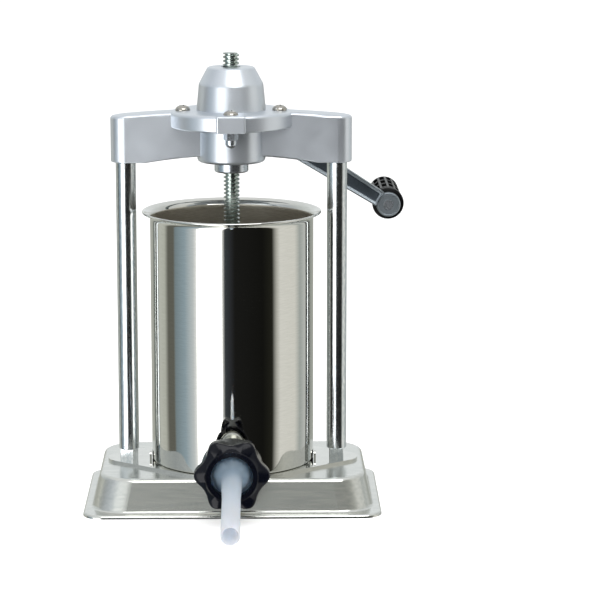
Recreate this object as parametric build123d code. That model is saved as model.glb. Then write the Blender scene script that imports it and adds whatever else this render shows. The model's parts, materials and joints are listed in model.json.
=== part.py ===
from build123d import *
import math
import os

# Vertical sausage stuffer with a bevel gear head.
# Millimetres, +Z up. The origin is on the table, under the axis of the cylinder and lead screw.
# The outlet points along -Y, the crank stands behind along +Y and its arm rests towards +X.

# ---- Clearances ----
running_fit = 0.12        # radial, a shaft in its bush
thread_fit = 0.25         # radial, a plain bore that stands for an internal thread
press_fit = 0.02          # radial, pieces that are assembled for good
bolt_fit = 0.3            # radial, a screw or stud in its hole
seat_gap = 0.1            # along an axis, between faces that part when a joint moves
wall_gap = 0.3            # beside a piece that is only located, not clamped

# ---- Cylinder ----
cylinder_r = 65.0
cylinder_height = 200.5
cylinder_wall = 1.0
cylinder_floor = 1.5
lip_overhang = 6.2
lip_height = 5.5

# ---- Base tray ----
base_front_margin = 12.5  # from the cylinder to the flange edge
base_back_margin = 7.0
base_side_margin = 33.7   # from a column's axis to the flange edge
base_corner = 15.0
tray_sheet = 1.2
ledge_height = 2.8
ledge_width = 6.5
platform_height = 29.0
platform_slope = 5.9
platform_corner = 27.0
top_bend = 3.5
foot_bend = 2.4
edge_bend = 2.0

# ---- Cylinder seat ----
seat_thick = 2.0
seat_margin = 2.0
seat_ear_r = 17.0
seat_tab_width = 20.0
seat_tab_height = 6.5
seat_tab_thick = 1.5

# ---- Columns and their fasteners ----
column_r = 8.0
column_gap = 10.7         # clear width between the cylinder and a column
column_above_rim = 40.0
foot_flats = 11.5         # across the wrench flats at a column's foot
foot_height = 7.2
foot_turns = {-1: -17.0, 1: -2.0}  # of each foot about its axis, by side
stud_r = 4.0
base_nut_flats = 13.0
base_nut_height = 6.5
base_washer_r = 8.0
base_washer_thick = 1.6
channel_width = 42.0
channel_thick = 2.0
channel_depth = 9.0
channel_overhang = 12.0
top_stud_r = 5.0
top_stud_length = 18.0
set_screw_r = 2.5
set_screw_height = 10.0
set_screw_length = 6.0

# ---- Gear head ----
head_half_thick = 11.7
body_height = 34.0
beam_flat = 27.5          # level underside at each end of the beam
beam_arch = 5.9
hub_r = 27.0
hub_floor = 6.0           # wall under the lower thrust bearing
head_flange_r = 48.7
head_flange_thick = 6.0
lug_width = 23.0
lug_reach = 54.0
cover_height = 7.3
cover_end_height = 2.6
cover_round = 2.4
dome_foot_r = 27.4
dome_shoulder_r = 25.4
dome_shoulder_height = 20.5
dome_top_r = 18.3
dome_height = 33.7
dome_ceiling = 6.0
dome_round = 2.5
cavity_r = 23.0
rear_boss_r = 14.0
cover_bolt_circle_r = 38.2
cover_screw_r = 3.0
cover_screw_depth = 20.0
screw_head_r = 5.8
screw_head_height = 4.7
screw_seat_depth = 1.1
rear_screw_angle = 60.0
front_nut_flats = 10.0
front_nut_height = 13.0

# ---- Gears ----
gear_module = 1.25
ring_teeth = 32
pinion_teeth = 16
tooth_face = 7.0
backlash = 0.15
pressure_angle = math.radians(20)
dedendum_factor = 1.25
tooth_root_sink = 0.5

# ---- Lead screw, drive nut and bearings ----
lead_screw_r = 6.35
lead_screw_pitch = 3.175
lead_screw_depth = 1.6
lead_screw_proud = 11.0   # above the dome when the piston is down
sleeve_r = 9.0
sleeve_flange_r = 12.0
sleeve_flange_thick = 5.5
key_size = 3.0
race_r = 15.0
race_thick = 1.8
ball_r = 1.9
ball_circle_r = 12.4
ball_count = 14
bush_flange_r = 13.5
bush_flange_height = 8.3
bush_spigot_r = 11.0

# ---- Crank ----
shaft_r = 6.0
pinion_seat_r = 4.0
pinion_hub_r = 8.0
pinion_hub_length = 6.0
pinion_pin_r = 1.5
shaft_bush_r = 8.5
shaft_bush_length = 12.0
shaft_bush_flange_r = 10.5
shaft_bush_flange_thick = 1.8
circlip_r = 8.4
circlip_thick = 1.2
crank_clearance = 4.8     # from the cylinder's lip to the swinging arm
crank_reach = 152.0
crank_rest_angle = 32.0   # below +X
crank_hub_r = 12.5
arm_thick = 7.0
arm_hub_half = 10.0
arm_tip_half = 6.2
arm_boss_r = 9.9
arm_channel_rim = 2.4
arm_channel_depth = 2.8
crank_washer_r = 9.0
crank_washer_thick = 1.5
crank_screw_r = 3.0
crank_screw_length = 14.0

# ---- Grip ----
axle_r = 4.2
axle_head_r = 6.2
axle_head_thick = 2.0
grip_r = 12.5
grip_length = 75.5
grip_gap = 0.5
grip_core_r = 11.3
grip_flange_r = 13.1
grip_flange_thick = 3.4
grip_neck = 7.0
grip_rib_count = 14
grip_rib_width = 2.6
grip_ring_count = 4
grip_ring_width = 2.6
grip_cap_thick = 3.0
grip_cap_r = 11.6

# ---- Piston ----
piston_rest = 8.0         # above the cylinder's floor at rest
piston_thick = 12.0
piston_gap = 0.9          # radial, the plate in the cylinder
seal_gap = 0.3            # radial, the relaxed seal in the cylinder
seal_section = 5.0
seal_depth = 4.0
piston_stud_r = 4.0
piston_nut_flats = 13.0
piston_nut_height = 6.0
piston_recess_r = 9.5
jam_nut_flats = 19.0
jam_nut_height = 8.0
vent_x = 36.0
vent_stem_r = 2.5
vent_head_r = 6.0
vent_head_thick = 2.0
vent_cap_r = 5.0
vent_cap_thick = 2.0
vent_travel = 3.0
vent_wire_r = 0.4
vent_spring_turns = 4

# ---- Outlet, retaining knob and stuffing tube ----
outlet_height = 11.5      # of the outlet's axis above the seat
spout_r = 11.0
spout_wall = 1.5
spout_neck = 17.5
collar_margin = 1.0       # of the collar beyond the tube's flange
collar_length = 19.0
collar_pitch = 3.0
collar_thread_depth = 0.8
tube_flange_r = 20.0
tube_flange_thick = 3.0
tube_cone_r = 15.2
tube_cone_length = 13.0
tube_root_r = 8.0
tube_tip_r = 7.0
tube_straight = 100.0
tube_length = 173.0
tube_wall = 1.2
knob_wall = 3.8           # round the collar, at the skirt
knob_scallop_sink = 0.2   # of the scallops below the skirt
knob_tip_height = 4.5     # of a lobe above the skirt
knob_tip_width = 3.6
knob_lobes = 6
knob_depth = 28.5
knob_skirt = 17.0         # knob behind the collar's front face
knob_hole_gap = 0.95      # radial, the tube's cone in the knob's hole
knob_ring_width = 3.95
knob_ring_height = 2.2
knob_lobe_slope = 2.6
knob_tip_depth = 7.5
knob_back_slope = 5.0

# ---- Places worked out from the sizes above ----
seat_top = platform_height + seat_thick
floor_top = seat_top + cylinder_floor
rim_z = seat_top + cylinder_height
lip_r = cylinder_r + lip_overhang
bore_r = cylinder_r - cylinder_wall
piston_r = bore_r - piston_gap
seal_r = bore_r - seal_gap
column_x = cylinder_r + column_gap + column_r
column_foot = seat_top + foot_height
head_bottom = rim_z + column_above_rim
seam_z = head_bottom + body_height
cover_top = seam_z + cover_height
dome_top = cover_top + dome_height
ceiling_z = dome_top - dome_ceiling
beam_end_x = column_x + head_half_thick
base_half_x = column_x + base_side_margin
base_front_y = cylinder_r + base_front_margin
base_back_y = cylinder_r + base_back_margin
outlet_z = seat_top + outlet_height
spout_bore_r = spout_r - spout_wall
collar_r = tube_flange_r + collar_margin
knob_body_r = collar_r + knob_wall
knob_scallop_r = knob_body_r - knob_scallop_sink
knob_r = knob_body_r + knob_tip_height
knob_hole_r = tube_cone_r + knob_hole_gap
knob_ring_r = knob_hole_r + knob_ring_width
collar_back_y = -(cylinder_r + spout_neck)
collar_front_y = collar_back_y - collar_length
arm_front_y = lip_r + crank_clearance
arm_back_y = arm_front_y + arm_thick
boss_back_y = arm_front_y - 6.0
ring_r = gear_module * ring_teeth / 2
pinion_r = gear_module * pinion_teeth / 2
pinion_back_y = ring_r + gear_module + pinion_hub_length
lower_race_z = head_bottom + hub_floor
gear_bottom_z = lower_race_z + 2 * race_thick + 2 * ball_r + 2 * seat_gap
upper_race_z = ceiling_z - 2 * race_thick - 2 * ball_r - 2 * seat_gap
sleeve_bottom_z = head_bottom - bush_flange_height + 2.0
piston_z = floor_top + piston_rest
piston_top = piston_z + piston_thick
vent_seat_z = piston_z + vent_head_thick + vent_travel + 0.5
screw_seat_z = cover_top - screw_seat_depth
grip_front_y = arm_back_y + grip_gap
grip_back_y = grip_front_y + grip_length


# ---- Shapes used more than once ----
def post(radius, low, high, x=0.0, y=0.0):
    """Upright round bar between two heights."""
    bar = Cylinder(radius, high - low, align=(Align.CENTER, Align.CENTER, Align.MIN))
    return Pos(x, y, low) * bar


def rod(radius, front, back, x=0.0, z=0.0):
    """Round bar along Y between two places."""
    bar = Cylinder(radius, back - front, align=(Align.CENTER, Align.CENTER, Align.MIN))
    return Pos(x, front, z) * Rot(-90, 0, 0) * bar


def block(x_low, x_high, y_low, y_high, z_low, z_high):
    """Box between two corners."""
    box = Box(x_high - x_low, y_high - y_low, z_high - z_low, align=(Align.MIN,) * 3)
    return Pos(x_low, y_low, z_low) * box


def turned(outline):
    """Solid of revolution about Z, from (radius, height) corners."""
    corners = [(radius, 0, height) for radius, height in outline]
    return revolve(make_face(Polyline(*corners, close=True)), Axis.Z)


def turned_y(outline, x=0.0, z=0.0):
    """Solid of revolution about a line along Y, from (radius, y) corners."""
    return Pos(x, 0, z) * Rot(-90, 0, 0) * turned(outline)


def hex_nut(flats, low, high, hole_r, x=0.0, y=0.0):
    """Hexagon nut with chamfered corners, standing between two heights."""
    corner_r = flats / math.sqrt(3)
    chamfer_height = (corner_r - flats / 2) * 0.58
    body = extrude(RegularPolygon(flats / 2, 6, major_radius=False), high - low)
    rounding = turned([
        (0, 0), (flats / 2, 0), (corner_r, chamfer_height),
        (corner_r, high - low - chamfer_height), (flats / 2, high - low), (0, high - low),
    ])
    nut = (body & rounding) - post(hole_r, -1, high - low + 1)
    return Pos(x, y, low) * nut


def ringed_outline(major_r, depth, pitch, low, high):
    """Outline of a bar whose thread is drawn as rings, from the axis at low to the axis at high."""
    outline = [(0, low)]
    ring_total = int((high - low) / pitch)
    start = low + (high - low - ring_total * pitch) / 2
    outline.append((major_r - depth, low))
    for index in range(ring_total):
        foot = start + index * pitch
        outline.append((major_r - depth, foot + 0.17 * pitch))
        outline.append((major_r, foot + 0.31 * pitch))
        outline.append((major_r, foot + 0.69 * pitch))
        outline.append((major_r - depth, foot + 0.83 * pitch))
    outline.append((major_r - depth, high))
    outline.append((0, high))
    return outline


def pan_screw(head_r, head_height, shank_r, length):
    """Cross-recessed screw with a domed head, its seat at z = 0 and the shank below."""
    dome_r = (head_r ** 2 + head_height ** 2) / (2 * head_height)
    head = Pos(0, 0, head_height - dome_r) * Sphere(dome_r)
    head = head & post(head_r, 0, head_height + 1)
    recess = block(-head_r * 0.55, head_r * 0.55, -0.7, 0.7, head_height * 0.45, head_height + 1)
    return head + post(shank_r, -length, 0) - recess - Rot(0, 0, 90) * recess


def tray_form(inset):
    """Form of the pressed tray, smaller by inset all round and on top."""
    depth = base_front_y + base_back_y
    middle_y = (base_back_y - base_front_y) / 2
    low = -1.0 if inset else 0.0

    def outline(step, corner, height):
        shape = RectangleRounded(2 * (base_half_x - step), depth - 2 * step, corner)
        return Pos(0, middle_y, height) * shape

    ledge_z = ledge_height - inset
    ledge = extrude(outline(inset, base_corner - inset, low), ledge_z - low)
    ledge_edges = ledge.faces().sort_by(Axis.Z)[-1].edges()
    ledge = fillet(ledge_edges, edge_bend - inset)
    foot = outline(ledge_width + inset, platform_corner - inset, ledge_z - 1.0)
    top_step = ledge_width + platform_slope + inset
    top = outline(top_step, platform_corner - inset, platform_height - inset)
    raised = loft([foot, top])
    raised = fillet(raised.faces().sort_by(Axis.Z)[-1].edges(), top_bend - inset)
    form = ledge + raised
    inner_x = base_half_x - ledge_width - inset
    foot_edges = form.edges().filter_by(
        lambda edge: abs(edge.center().Z - ledge_z) < 0.01
        and edge.bounding_box().max.X < inner_x + 1.0
        and edge.bounding_box().min.X > -inner_x - 1.0
        and edge.bounding_box().min.Y > -base_front_y + ledge_width * 0.6
        and edge.bounding_box().max.Y < base_back_y - ledge_width * 0.6)
    return fillet(foot_edges, foot_bend + inset)


def base_tray():
    """Pressed sheet tray: a raised platform inside a narrow ledge with a turned-down edge."""
    tray = tray_form(0) - tray_form(tray_sheet)
    for x in (-column_x, column_x):
        tray -= post(stud_r + bolt_fit, platform_height - 5, platform_height + 1, x)
    return tray


def base_stiffener():
    """Folded channel under the platform that takes the pull of the columns."""
    top = platform_height - tray_sheet
    half_x = column_x + channel_overhang
    half_y = channel_width / 2
    channel = block(-half_x, half_x, -half_y, half_y, top - channel_depth, top)
    inside_y = half_y - channel_thick
    channel -= block(-half_x - 1, half_x + 1, -inside_y, inside_y, top - channel_depth - 1,
                     top - channel_thick)
    for x in (-column_x, column_x):
        channel -= post(stud_r + bolt_fit, top - 5, top + 1, x)
    return channel


channel_under = platform_height - tray_sheet - channel_thick
washer_under = channel_under - base_washer_thick


def base_washers():
    """Flat washers under the channel, one on each column's stud."""
    ring = post(base_washer_r, washer_under, channel_under)
    ring -= post(stud_r + bolt_fit, washer_under - 1, channel_under + 1)
    return [Pos(x, 0, 0) * ring for x in (-column_x, column_x)]


def base_nuts():
    """Hexagon nuts under the washers."""
    return [hex_nut(base_nut_flats, washer_under - base_nut_height, washer_under,
                    stud_r + thread_fit, x) for x in (-column_x, column_x)]


def cylinder_seat():
    """Flat plate under the cylinder: a disc drawn out to an ear at each column."""
    plate_r = cylinder_r + seat_margin
    rounds = [Circle(plate_r)]
    rounds += [Pos(x, 0, 0) * Circle(seat_ear_r) for x in (-column_x, column_x)]
    edges = [edge for circle in rounds for edge in circle.edges()]
    plate = Pos(0, 0, platform_height) * extrude(make_hull(edges), seat_thick)
    tab_x = cylinder_r + wall_gap
    for side in (-1, 1):
        low, high = sorted((side * tab_x, side * (tab_x + seat_tab_thick)))
        tab = block(low, high, -seat_tab_width / 2, seat_tab_width / 2,
                    platform_height + 0.5, seat_top + seat_tab_height)
        corners = tab.edges().filter_by(Axis.X).group_by(Axis.Z)[-1]
        plate += fillet(corners, seat_tab_height * 0.45)
        plate -= post(stud_r + bolt_fit, platform_height - 1, seat_top + 1, side * column_x)
    return plate


def column(side):
    """Round column with a squared foot for a wrench and a stud at each end."""
    x = side * column_x
    shaft = post(column_r, column_foot, head_bottom, x)
    shaft = chamfer(shaft.edges().filter_by(GeomType.CIRCLE), 0.7)
    half = foot_flats / 2
    foot = Rot(0, 0, foot_turns[side]) * block(-half, half, -half, half, seat_top,
                                               column_foot + 0.5)
    foot = Pos(x, 0, 0) * foot & post(column_r - 0.2, seat_top, column_foot + 0.5, x)
    stud_low = washer_under - base_nut_height - 2.0
    foot_stud = post(stud_r, stud_low, seat_top + 1, x)
    top_stud = post(top_stud_r, head_bottom, head_bottom + top_stud_length, x)
    return shaft + foot + foot_stud + top_stud


# ---- Cylinder and outlet ----
def cylinder():
    """Drawn cylinder with a floor, a flared lip and the outlet hole at the front."""
    flare_z = rim_z - lip_height
    flare_r = 1.1 * lip_height
    wall = Polyline(
        (0, 0, seat_top), (cylinder_r - 2, 0, seat_top), (cylinder_r, 0, seat_top + 2),
        (cylinder_r, 0, flare_z),
    )
    flare = TangentArc((cylinder_r, 0, flare_z), (lip_r, 0, rim_z), tangent=(0, 0, 1))
    rim = Polyline((lip_r, 0, rim_z), (lip_r - cylinder_wall * 0.4, 0, rim_z + cylinder_wall))
    rim_end = rim @ 1
    back = TangentArc((bore_r, 0, flare_z), (rim_end.X, 0, rim_end.Z), tangent=(0, 0, 1))
    inside = Polyline((bore_r, 0, flare_z), (bore_r, 0, floor_top), (0, 0, floor_top),
                      (0, 0, seat_top))
    section = make_face(Wire.combine(
        wall.edges() + flare.edges() + rim.edges() + back.edges() + inside.edges())[0])
    shell = revolve(section, Axis.Z)
    return shell - rod(spout_bore_r, -cylinder_r - 5, 0, 0, outlet_z)


def outlet_spout():
    """Outlet pipe welded to the cylinder, with a threaded collar for the knob."""
    pipe = rod(spout_r, collar_back_y - 1, 0, 0, outlet_z)
    pipe -= post(cylinder_r, seat_top - 20, seat_top + 60)
    thread = ringed_outline(collar_r, collar_thread_depth, collar_pitch, collar_front_y,
                            collar_back_y - 2.5)
    collar = turned_y(thread, 0, outlet_z)
    shoulder = turned_y([
        (0, collar_back_y - 3), (collar_r - collar_thread_depth, collar_back_y - 3),
        (collar_r - 3, collar_back_y), (spout_r, collar_back_y + 3), (0, collar_back_y + 3),
    ], 0, outlet_z)
    body = pipe + collar + shoulder
    return body - rod(spout_bore_r, collar_front_y - 1, 0, 0, outlet_z)


def stuffing_tube():
    """Moulded tube: a flange, a cone and a slim nozzle with a straight end."""
    back = collar_front_y - seat_gap
    flange_front = back - tube_flange_thick
    cone_front = flange_front - tube_cone_length
    tip = back - tube_length
    straight = tip + tube_straight
    outside = [
        (0, back), (tube_flange_r, back), (tube_flange_r, flange_front),
        (tube_cone_r, flange_front), (tube_root_r, cone_front), (tube_tip_r, straight),
        (tube_tip_r, tip), (0, tip),
    ]
    inside = [
        (0, back + 1), (tube_cone_r - tube_wall, back + 1),
        (tube_cone_r - tube_wall, flange_front), (tube_root_r - tube_wall, cone_front),
        (tube_tip_r - tube_wall, straight), (tube_tip_r - tube_wall, tip - 1), (0, tip - 1),
    ]
    return turned_y(outside, 0, outlet_z) - turned_y(inside, 0, outlet_z)


def knob_outline():
    """Round outline with hollows between its lobes, one lobe pointing along +X."""
    half_pitch = math.pi / knob_lobes
    tip_angle = knob_tip_width / 2 / knob_r
    edge_x = knob_r * math.cos(half_pitch - tip_angle)
    edge_y = knob_r * math.sin(half_pitch - tip_angle)
    centre = (edge_x ** 2 + edge_y ** 2 - knob_scallop_r ** 2) / (2 * (edge_x - knob_scallop_r))
    outline = Circle(knob_r)
    for index in range(knob_lobes):
        turn = math.degrees(half_pitch) * (2 * index + 1)
        outline -= Rot(0, 0, turn) * Pos(centre, 0, 0) * Circle(centre - knob_scallop_r)
    return outline


def retaining_knob():
    """Lobed hand nut that holds the tube's flange against the collar."""
    back = collar_front_y + knob_skirt
    front = back - knob_depth
    flange_seat = collar_front_y - 2 * seat_gap - tube_flange_thick
    lobes = Pos(0, back, outlet_z) * Rot(90, 0, 0) * extrude(knob_outline(), knob_depth)
    tip_front = front + knob_ring_height + knob_lobe_slope
    tip_back = tip_front + knob_tip_depth
    form = turned_y([
        (0, back), (knob_body_r - 1, back), (knob_body_r, back - 1),
        (knob_body_r, tip_back + knob_back_slope), (knob_r + 0.1, tip_back),
        (knob_r + 0.1, tip_front), (knob_ring_r + 1.2, front + knob_ring_height),
        (knob_ring_r, front), (0, front),
    ], 0, outlet_z)
    knob = lobes & form
    knob -= rod(collar_r + thread_fit, flange_seat, back + 1, 0, outlet_z)
    return knob - rod(knob_hole_r, front - 1, back, 0, outlet_z)


# ---- Gear head ----
def head_block(low, high):
    """Beam, flange disc and front lug between two heights, each with its own edges."""
    beam = Pos(0, 0, low) * extrude(SlotOverall(2 * beam_end_x, 2 * head_half_thick), high - low)
    disc = post(head_flange_r, low, high)
    lug = block(-lug_width / 2, lug_width / 2, -lug_reach, 0, low, high)
    return beam, disc, lug


def screw_places():
    """Centres of the cover's screws, the front one first."""
    angles = (-90, 0, 180, rear_screw_angle, 180 - rear_screw_angle)
    return [(cover_bolt_circle_r * math.cos(math.radians(angle)),
             cover_bolt_circle_r * math.sin(math.radians(angle))) for angle in angles]


def shaft_bores():
    """Room for the crank shaft, its bushes and the pinion's hub."""
    wide = rod(pinion_hub_r + 2, 0, pinion_back_y + 1, 0, seam_z)
    return wide + rod(shaft_bush_r, 0, boss_back_y + 1, 0, seam_z)


def head_body():
    """Cast lower half of the gear head, which stands on the columns."""
    beam, disc, lug = head_block(head_bottom, seam_z)
    flat_x = beam_end_x - beam_flat
    arch = make_face(
        ThreePointArc((-flat_x, 0, head_bottom), (0, 0, head_bottom + beam_arch),
                      (flat_x, 0, head_bottom)).edges()
        + Polyline((flat_x, 0, head_bottom), (flat_x, 0, head_bottom - 5),
                   (-flat_x, 0, head_bottom - 5), (-flat_x, 0, head_bottom)).edges())
    beam -= extrude(arch, head_half_thick + 1, both=True)
    beam = fillet(beam.faces().sort_by(Axis.Z)[:3].edges().filter_by(
        lambda edge: edge.center().Z < head_bottom + beam_arch + 0.1 and edge.length > 10), 1.2)
    flange_low = seam_z - head_flange_thick
    disc = disc & post(head_flange_r + 1, flange_low, seam_z)
    disc = fillet(disc.edges().group_by(Axis.Z)[0], 1.6)
    lug = lug & block(-lug_width, lug_width, -lug_reach - 1, 0, flange_low, seam_z)
    lug = fillet(lug.edges().filter_by(Axis.Z).group_by(Axis.Y)[0], 1.6)
    lug = fillet(lug.faces().sort_by(Axis.Z)[0].edges().sort_by(Axis.Y)[:1], 1.0)
    hub = post(hub_r, head_bottom, seam_z)
    hub = fillet(hub.edges().group_by(Axis.Z)[0], 3.0)
    boss = rod(rear_boss_r, 0, boss_back_y, 0, seam_z)
    boss = chamfer(boss.edges().group_by(Axis.Y)[-1], 1.0)
    boss = boss & block(-hub_r, hub_r, 0, boss_back_y + 1, head_bottom, seam_z)
    body = beam + disc + lug + hub + boss
    for x, y in screw_places()[3:]:
        body += post(screw_head_r + 0.6, seam_z - cover_screw_depth + 4, seam_z - 1, x, y)
    body -= post(cavity_r, gear_bottom_z - 0.5, seam_z + 1)
    body -= post(race_r + wall_gap, lower_race_z, seam_z)
    body -= post(bush_spigot_r + press_fit, head_bottom - 1, seam_z)
    body -= shaft_bores()
    for x, y in screw_places():
        body -= post(cover_screw_r + bolt_fit, screw_seat_z - cover_screw_depth - 2, seam_z + 1,
                     x, y)
    for side in (-1, 1):
        body -= post(top_stud_r + bolt_fit, head_bottom - 1,
                     head_bottom + top_stud_length + 1, side * column_x)
        body -= rod(set_screw_r + thread_fit, 0, head_half_thick + 1, side * column_x,
                    head_bottom + set_screw_height)
    return body


def head_cover():
    """Cast upper half of the gear head with the dome over the drive nut."""
    beam, disc, lug = head_block(seam_z, cover_top + 1)
    arch = make_face(
        ThreePointArc((-beam_end_x, 0, seam_z + cover_end_height), (0, 0, cover_top),
                      (beam_end_x, 0, seam_z + cover_end_height)).edges()
        + Polyline((beam_end_x, 0, seam_z + cover_end_height), (beam_end_x, 0, seam_z - 1),
                   (-beam_end_x, 0, seam_z - 1),
                   (-beam_end_x, 0, seam_z + cover_end_height)).edges())
    vault = extrude(arch, head_flange_r + 1, both=True)
    beam = beam & vault
    disc = disc & vault
    beam = fillet(beam.edges().filter_by(lambda edge: edge.center().Z > seam_z + 1.5
                                         and edge.length > 10), cover_round)
    disc = fillet(disc.edges().filter_by(lambda edge: edge.center().Z > seam_z + 3
                                         and edge.length > 10), cover_round)
    lug = lug & block(-lug_width, lug_width, -lug_reach - 1, 0, seam_z, cover_top)
    lug = fillet(lug.edges().filter_by(Axis.Z).group_by(Axis.Y)[0], 1.6)
    lug = fillet(lug.faces().sort_by(Axis.Z)[-1].edges().sort_by(Axis.Y)[:1], 1.0)
    dome = turned([
        (0, seam_z + 1), (dome_foot_r, seam_z + 1), (dome_foot_r, cover_top),
        (dome_shoulder_r, cover_top + dome_shoulder_height), (dome_top_r, dome_top),
        (0, dome_top),
    ])
    circles = dome.edges().filter_by(GeomType.CIRCLE).sort_by(Axis.Z)
    dome = fillet([circles[-1]], dome_round)
    circles = dome.edges().filter_by(
        lambda edge: abs(edge.center().Z - cover_top - dome_shoulder_height) < 0.1)
    dome = fillet(circles, 5.0)
    boss = rod(rear_boss_r, 0, boss_back_y, 0, seam_z)
    boss = chamfer(boss.edges().group_by(Axis.Y)[-1], 1.0)
    boss = boss & block(-hub_r, hub_r, 0, boss_back_y + 1, seam_z, cover_top + rear_boss_r)
    cover = beam + disc + lug + dome + boss
    taper_z = upper_race_z - 4.0
    cover -= turned([
        (0, seam_z - 1), (cavity_r, seam_z - 1), (cavity_r, taper_z - 3),
        (race_r + wall_gap, taper_z + 4), (race_r + wall_gap, ceiling_z), (0, ceiling_z),
    ])
    cover -= post(lead_screw_r + 1.2, ceiling_z - 1, dome_top + 1)
    cover -= shaft_bores()
    for x, y in screw_places():
        cover -= post(cover_screw_r + bolt_fit, seam_z - 1, cover_top + 1, x, y)
        cover -= post(screw_head_r + wall_gap, screw_seat_z, cover_top + 1, x, y)
    return cover


def cover_screws():
    """Five screws that hold the halves of the head together."""
    screw = pan_screw(screw_head_r, screw_head_height, cover_screw_r, cover_screw_depth)
    return [Pos(x, y, screw_seat_z) * Rot(0, 0, 30) * screw for x, y in screw_places()]


def front_cap_nut():
    """Domed nut on the front screw, under the lug."""
    x, y = screw_places()[0]
    top = seam_z - head_flange_thick
    base = hex_nut(front_nut_flats, top - 6.5, top, cover_screw_r + thread_fit, x, y)
    dome_r = front_nut_flats / 2 - 0.4
    cap = post(dome_r, top - front_nut_height + dome_r, top - 6, x, y)
    cap += Pos(x, y, top - front_nut_height + dome_r) * Sphere(dome_r)
    hole = post(cover_screw_r + thread_fit, screw_seat_z - cover_screw_depth - 1, top + 1, x, y)
    return base + (cap - hole)


def column_set_screws():
    """Grub screws at the back of the head that lock the column studs."""
    screws = []
    for side in (-1, 1):
        z = head_bottom + set_screw_height
        screw = rod(set_screw_r, top_stud_r, top_stud_r + set_screw_length, side * column_x, z)
        socket = Pos(side * column_x, top_stud_r + set_screw_length - 2.5, z) * Rot(
            -90, 0, 0) * extrude(RegularPolygon(1.25, 6), 4)
        screws.append(screw - socket)
    return screws


def lower_bush():
    """Flanged bush that guides the drive nut under the hub."""
    bush = post(bush_flange_r, head_bottom - bush_flange_height, head_bottom)
    bush = fillet(bush.edges().group_by(Axis.Z)[0], 1.6)
    bush += post(bush_spigot_r, head_bottom - 1, lower_race_z)
    bush -= post(sleeve_r + running_fit, sleeve_bottom_z - 0.5, lower_race_z + 1)
    return bush - post(lead_screw_r + 0.8, head_bottom - bush_flange_height - 1, seam_z)


def thrust_race(low):
    """Flat washer of a ball thrust bearing."""
    ring = post(race_r, low, low + race_thick)
    return ring - post(sleeve_r + wall_gap, low - 1, low + race_thick + 1)


def thrust_balls(race_top):
    """Ring of balls standing on a race."""
    balls = []
    for index in range(ball_count):
        angle = 2 * math.pi * index / ball_count
        x = ball_circle_r * math.cos(angle)
        y = ball_circle_r * math.sin(angle)
        balls.append(Pos(x, y, race_top + ball_r + seat_gap / 2) * Sphere(ball_r))
    return balls


# ---- Gears ----
def tooth_outline(pitch_r, cone_angle):
    """Half outline of one bevel tooth at its outer end, as (across, up) from the pitch point."""
    virtual_r = pitch_r / math.cos(cone_angle)
    base_r = virtual_r * math.cos(pressure_angle)
    root_r = virtual_r - dedendum_factor * gear_module - tooth_root_sink
    tip_r = virtual_r + gear_module
    half_at_pitch = (math.pi * gear_module / 2 - backlash) / 2 / virtual_r

    def involute(angle):
        return math.tan(angle) - angle

    start_r = max(base_r, root_r)
    steps = 4
    radii = [start_r + (tip_r - start_r) * step / steps for step in range(steps + 1)]
    if root_r < start_r:
        radii.insert(0, root_r)
    outline = []
    for radius in radii:
        local = math.acos(min(1.0, base_r / radius))
        half = half_at_pitch + involute(pressure_angle) - involute(local)
        outline.append((radius * math.sin(half), radius * math.cos(half) - virtual_r))
    return outline


def bevel_tooth(pitch_r, mate_r):
    """One tooth of a bevel gear whose axis is Z and whose cone's apex is the origin."""
    cone_angle = math.atan2(pitch_r, mate_r)
    cone_length = math.hypot(pitch_r, mate_r)
    pitch_point = Vector(pitch_r, 0, -mate_r)
    up = Vector(mate_r, 0, pitch_r) / cone_length
    across = Vector(0, 1, 0)
    half = tooth_outline(pitch_r, cone_angle)
    outline = half + [(-width, height) for width, height in reversed(half)]
    heel = [pitch_point + up * height + across * width for width, height in outline]
    shrink = (cone_length - tooth_face) / cone_length
    toe = [corner * shrink for corner in heel]
    faces = [Face(Wire.make_polygon(heel)), Face(Wire.make_polygon(toe))]
    for index in range(len(heel)):
        after = (index + 1) % len(heel)
        faces.append(Face(Wire.make_polygon(
            [heel[index], heel[after], toe[after], toe[index]])))
    return Solid(Shell(faces))


def cone_corner(pitch_r, mate_r, rise, along):
    """(radius, height) of a point on the pitch cone, raised square to it, scaled towards the apex."""
    cone_length = math.hypot(pitch_r, mate_r)
    shrink = (cone_length - along) / cone_length
    radius = (pitch_r + rise * mate_r / cone_length) * shrink
    height = (-mate_r + rise * pitch_r / cone_length) * shrink
    return radius, height


def bevel_gear(pitch_r, mate_r, teeth, hole_r, hub_r_value, hub_end, phase):
    """Bevel gear on Z with its cone's apex at the origin and its hub below."""
    root = -dedendum_factor * gear_module
    heel_r, heel_z = cone_corner(pitch_r, mate_r, root, 0)
    toe_r, toe_z = cone_corner(pitch_r, mate_r, root, tooth_face)
    gear = turned([
        (hole_r, hub_end), (hub_r_value, hub_end), (hub_r_value, heel_z - 2.0),
        (heel_r, heel_z - 1.0), (heel_r, heel_z), (toe_r, toe_z), (hole_r, toe_z),
    ])
    tooth = bevel_tooth(pitch_r, mate_r)
    cutters = [Rot(0, 0, 360 * (index + phase) / teeth) * tooth for index in range(teeth)]
    return gear + cutters


def drive_gear():
    """Large bevel gear, keyed to the drive nut, its teeth up."""
    hub_end = gear_bottom_z - seam_z
    gear = bevel_gear(ring_r, pinion_r, ring_teeth, sleeve_r + press_fit, ring_r - 2.5, hub_end, 0)
    half = key_size / 2
    gear -= block(0, sleeve_r + half + press_fit, -half, half, hub_end - 1, 1)
    return Pos(0, 0, seam_z) * gear


gear_top_z = seam_z + cone_corner(ring_r, pinion_r, -dedendum_factor * gear_module, tooth_face)[1]


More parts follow.
